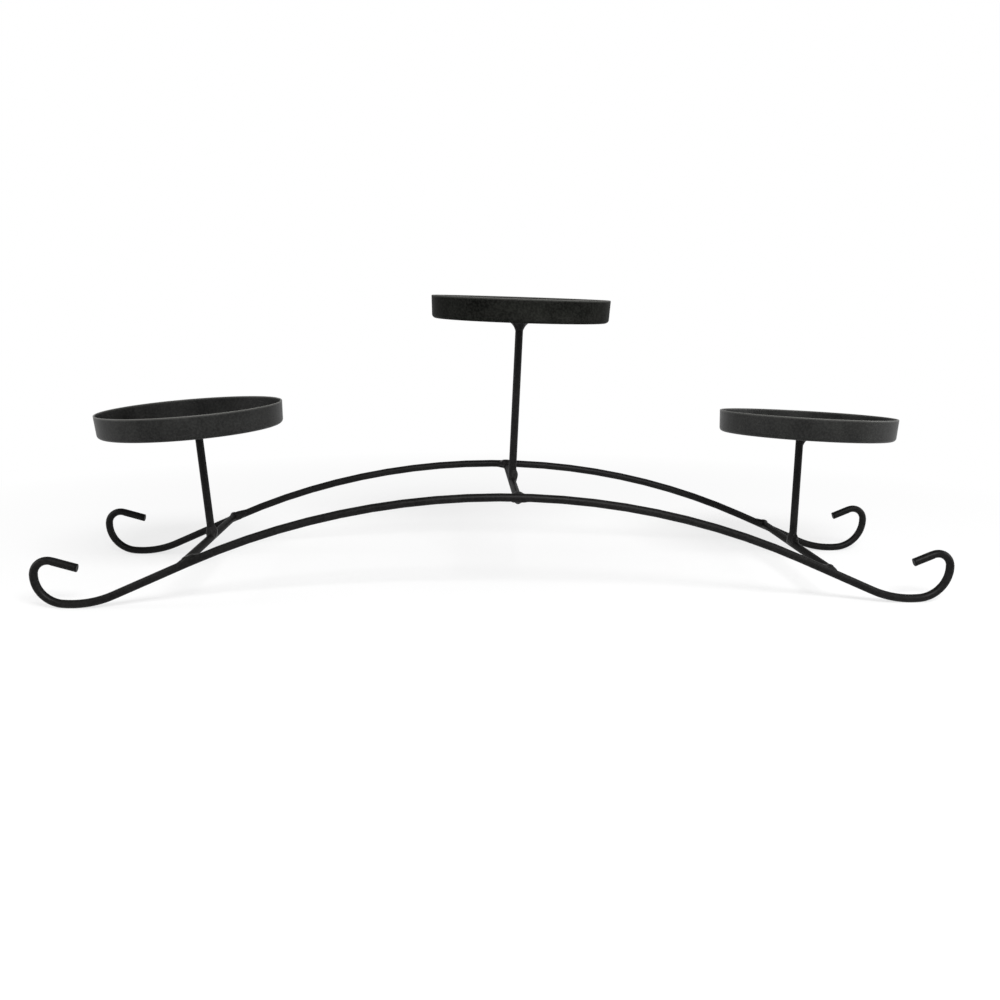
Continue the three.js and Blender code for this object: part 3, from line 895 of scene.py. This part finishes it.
def powder_coat(scene, kind):
    """Black satin powder coat for the rods, the crossbars, the beads or one tray: cloudy and speckled black,
    roughness that changes slowly, the fine waves of the cured powder and a finer grain. The beads are lumpy
    as well, and on the trays the rims are lightened by a painted highlight where the rim highlight attribute
    says so."""
    name = f"{kind}_powder_coat"
    if name in bpy.data.materials:
        return bpy.data.materials[name]
    look = scene.candle_coat
    on_tray = kind.endswith("tray")
    colour = look.rod_colour if kind == "crossbar" else getattr(look, f"{kind}_colour")
    material = bpy.data.materials.new(name)
    material.use_nodes = True
    tree = material.node_tree
    shader = tree.nodes["Principled BSDF"]
    coordinates = tree.nodes.new("ShaderNodeTexCoord").outputs["Object"]
    clouds = noise(tree, coordinates, *CLOUDS)
    speckle = noise(tree, coordinates, *SPECKLE)
    grain = noise(tree, coordinates, *GRAIN)
    peel = noise(tree, coordinates, 1.0 / look.peel_size, *PEEL_NOISE)
    cloudiness = TRAY_CLOUDINESS if on_tray else CLOUDINESS
    middle = HALF_TONE / 2.0
    slow = spread(tree, clouds, *CLOUD_RANGE, middle - cloudiness, middle + cloudiness)
    fast = spread(tree, speckle, *SPECKLE_RANGE, 0.0, HALF_TONE)
    low, high = ([part * channel for channel in colour] for part in (DARKEST, PALEST))
    mixed = blend_colours(tree, combined(tree, "ADD", slow, fast), low, high)
    if on_tray:
        # Painted highlight along the trays' rims: the coat's colour is mixed towards a pale grey there.
        wear = new_node(tree, "ShaderNodeAttribute", attribute_name="wear").outputs["Fac"]
        mixed = blend_colours(tree, wear, mixed, look.rim_highlight_colour)
    rough = spread(tree, clouds, *ROUGH_RANGE, *(look.roughness + change for change in ROUGH_CHANGE))
    tree.links.new(mixed, shader.inputs["Base Color"])
    tree.links.new(rough, shader.inputs["Roughness"])
    shader.inputs["Specular IOR Level"].default_value = getattr(look, f"{kind}_gloss")
    layers = [(peel, look.peel_depth * PEEL_PER_GRAIN), (grain, look.peel_depth)]
    if kind == "weld":
        layers.insert(0, (noise(tree, coordinates, *BEAD_LUMPS), BEAD_LUMP_DEPTH))
    tree.links.new(stacked_bump(tree, layers), shader.inputs["Normal"])
    return material


# ---- Studio --------------------------------------------------------------------------------------

WHITE_RAYS = ("Is Camera Ray", "Is Glossy Ray", "Is Transmission Ray")
OVERHEAD_DIM = (0.32, 0.60, 1.0, 0.36)  # from and to this height of a direction, strength falls from and to
FLOOR_HALF = 3.0
FLOOR_ROUGHNESS = 0.9
FLOOR_MOTTLE = (6.0, 3.0, 0.5)  # waves for each metre, detail and roughness
FLOOR_MOTTLE_SHADE = 0.99
FLOOR_FADE = (0.30, 0.62)  # distances from the middle between which the floor turns white
FLOOR_WHITE_NEAR = 0.70  # how white it already is nearer than that
LIGHT_AIM = (0.0, 0.0, 0.09)
FRONT_BOX_PLACE, FRONT_BOX_SIZE = (0.22, -0.95, 0.85), (0.6, 0.3)
SIDE_BOX_PLACE, SIDE_BOX_SIZE = (1.15, -0.15, 0.45), (0.5, 0.6)  # the right one; the left one mirrors it
SENSOR_WIDTH = 36.0
CLIP_START, CLIP_END = 0.01, 20.0


def rays_seen(tree, kinds):
    """1 for a ray of any of the kinds and 0 for all others."""
    path = tree.nodes.new("ShaderNodeLightPath")
    return combined(tree, "ADD", *(path.outputs[kind] for kind in kinds))


def white_world(scene, fill):
    """White surroundings: full white where they are seen, and the fill strength for the light that falls
    on the object. High overhead, where the camera never looks, they are dim."""
    world = bpy.data.worlds.new("white_surroundings")
    scene.world = world
    world.use_nodes = True
    tree = world.node_tree
    background = tree.nodes["Background"]
    background.inputs["Color"].default_value = (1.0, 1.0, 1.0, 1.0)
    direction = tree.nodes.new("ShaderNodeTexCoord").outputs["Generated"]
    parts = tree.nodes.new("ShaderNodeSeparateXYZ")
    tree.links.new(direction, parts.inputs[0])
    overhead = spread(tree, parts.outputs["Z"], *OVERHEAD_DIM)
    reach = spread(tree, rays_seen(tree, WHITE_RAYS), 0.0, 1.0, fill, 1.0)
    tree.links.new(combined(tree, "MULTIPLY", overhead, reach), background.inputs["Strength"])


def floor_paint(colour):
    """Matt pale paint that keeps shadows near the object and turns into the white of the background
    further out."""
    material = bpy.data.materials.new("pale_floor_paint")
    material.use_nodes = True
    tree = material.node_tree
    shader = tree.nodes["Principled BSDF"]
    shader.inputs["Roughness"].default_value = FLOOR_ROUGHNESS
    shader.inputs["Specular IOR Level"].default_value = 0.0
    coordinates = tree.nodes.new("ShaderNodeTexCoord").outputs["Object"]
    mottle = noise(tree, coordinates, *FLOOR_MOTTLE)
    mixed = blend_colours(tree, mottle, [FLOOR_MOTTLE_SHADE * channel for channel in colour], colour)
    tree.links.new(mixed, shader.inputs["Base Color"])
    glow = tree.nodes.new("ShaderNodeEmission")
    distance = new_node(tree, "ShaderNodeVectorMath", operation="LENGTH")
    tree.links.new(coordinates, distance.inputs[0])
    far = spread(tree, distance.outputs["Value"], *FLOOR_FADE, FLOOR_WHITE_NEAR, 1.0)
    mix = tree.nodes.new("ShaderNodeMixShader")
    tree.links.new(combined(tree, "MULTIPLY", far, rays_seen(tree, WHITE_RAYS)), mix.inputs[0])
    tree.links.new(shader.outputs[0], mix.inputs[1])
    tree.links.new(glow.outputs[0], mix.inputs[2])
    tree.links.new(mix.outputs[0], tree.nodes["Material Output"].inputs["Surface"])
    return material


def soft_box(name, place, size, power):
    """A rectangular area lamp aimed at the object."""
    data = bpy.data.lights.new(name, "AREA")
    data.shape = "RECTANGLE"
    data.size, data.size_y = size
    data.energy = power
    lamp = bpy.data.objects.new(name, data)
    lamp.location = place
    lamp.rotation_euler = (Vector(LIGHT_AIM) - Vector(place)).to_track_quat("-Z", "Y").to_euler()
    bpy.context.collection.objects.link(lamp)


def camera_turn(yaw, pitch, roll):
    """Rotation of the camera: it looks ahead along +Y, turned right by the yaw, down by the pitch and
    about its own line of sight by the roll."""
    ahead = Vector((math.sin(yaw) * math.cos(pitch), math.cos(yaw) * math.cos(pitch), -math.sin(pitch)))
    level = Vector((math.cos(yaw), -math.sin(yaw), 0.0))
    down = ahead.cross(level)
    right = level * math.cos(roll) + down * math.sin(roll)
    lower = down * math.cos(roll) - level * math.sin(roll)
    return Matrix((right, -lower, -ahead)).transposed().to_euler()


class CANDLE_OT_set_stage(bpy.types.Operator):
    """Set the floor, the white surroundings, the soft light and the camera"""

    bl_idname = "candle_holder.set_stage"
    bl_label = "Set Stage"

    def execute(self, context):
        scene = context.scene
        look = scene.candle_studio
        mesh = bpy.data.meshes.new("studio_floor")
        corners = [(x * FLOOR_HALF, y * FLOOR_HALF, 0.0) for x, y in ((-1, -1), (1, -1), (1, 1), (-1, 1))]
        mesh.from_pydata(corners, [], [(0, 1, 2, 3)])
        mesh.materials.append(floor_paint(look.floor_colour))
        floor = bpy.data.objects.new("studio_floor", mesh)
        context.collection.objects.link(floor)
        white_world(scene, look.world_fill)
        soft_box("front_box", FRONT_BOX_PLACE, FRONT_BOX_SIZE, look.key_power)
        out, ahead, up = SIDE_BOX_PLACE
        for side in ENDS.values():
            soft_box("side_box", (side * out, ahead, up), SIDE_BOX_SIZE, look.side_power)
        data = bpy.data.cameras.new("photo_camera")
        data.sensor_width = SENSOR_WIDTH
        data.sensor_fit = "HORIZONTAL"
        data.lens = look.camera_lens
        data.clip_start, data.clip_end = CLIP_START, CLIP_END
        camera = bpy.data.objects.new("photo_camera", data)
        camera.location = look.camera_place
        camera.rotation_euler = camera_turn(look.camera_yaw, look.camera_pitch, look.camera_roll)
        context.collection.objects.link(camera)
        scene.camera = camera
        scene.view_settings.view_transform = "Standard"
        return {"FINISHED"}


# ---- Panel and registration ----------------------------------------------------------------------

GROUPS = {
    "candle_rod": RodSizes,
    "candle_tray": TraySizes,
    "candle_weld": WeldSizes,
    "candle_coat": CoatLook,
    "candle_studio": StudioLook,
}
STEPS = (
    CANDLE_OT_set_stage,
    CANDLE_OT_bend_rails,
    CANDLE_OT_lay_crossbars,
    CANDLE_OT_stand_stems,
    CANDLE_OT_press_trays,
    CANDLE_OT_weld_rails,
    CANDLE_OT_weld_stems,
    CANDLE_OT_weld_trays,
)


class CANDLE_PT_centrepiece(bpy.types.Panel):
    """Sizes, looks and steps of the candle centrepiece"""

    bl_idname = "CANDLE_PT_centrepiece"
    bl_label = "Candle Centrepiece"
    bl_space_type = "VIEW_3D"
    bl_region_type = "UI"
    bl_category = "Candle"

    def draw(self, context):
        layout = self.layout
        for step in STEPS:
            layout.operator(step.bl_idname)
        for name, group in GROUPS.items():
            box = layout.box()
            for key in group.__annotations__:
                box.prop(getattr(context.scene, name), key)


def register():
    """Add the groups of values, the steps and the panel."""
    for group in GROUPS.values():
        bpy.utils.register_class(group)
    for name, group in GROUPS.items():
        setattr(bpy.types.Scene, name, PointerProperty(type=group))
    for step in (*STEPS, CANDLE_PT_centrepiece):
        bpy.utils.register_class(step)


def unregister():
    """Take them away again, in the opposite order."""
    for step in (CANDLE_PT_centrepiece, *reversed(STEPS)):
        bpy.utils.unregister_class(step)
    for name in GROUPS:
        delattr(bpy.types.Scene, name)
    for group in reversed(GROUPS.values()):
        bpy.utils.unregister_class(group)


def main():
    """Carry out every step in turn."""
    register()
    for step in STEPS:
        family, _, action = step.bl_idname.partition(".")
        getattr(getattr(bpy.ops, family), action)()


if __name__ == "__main__":
    main()
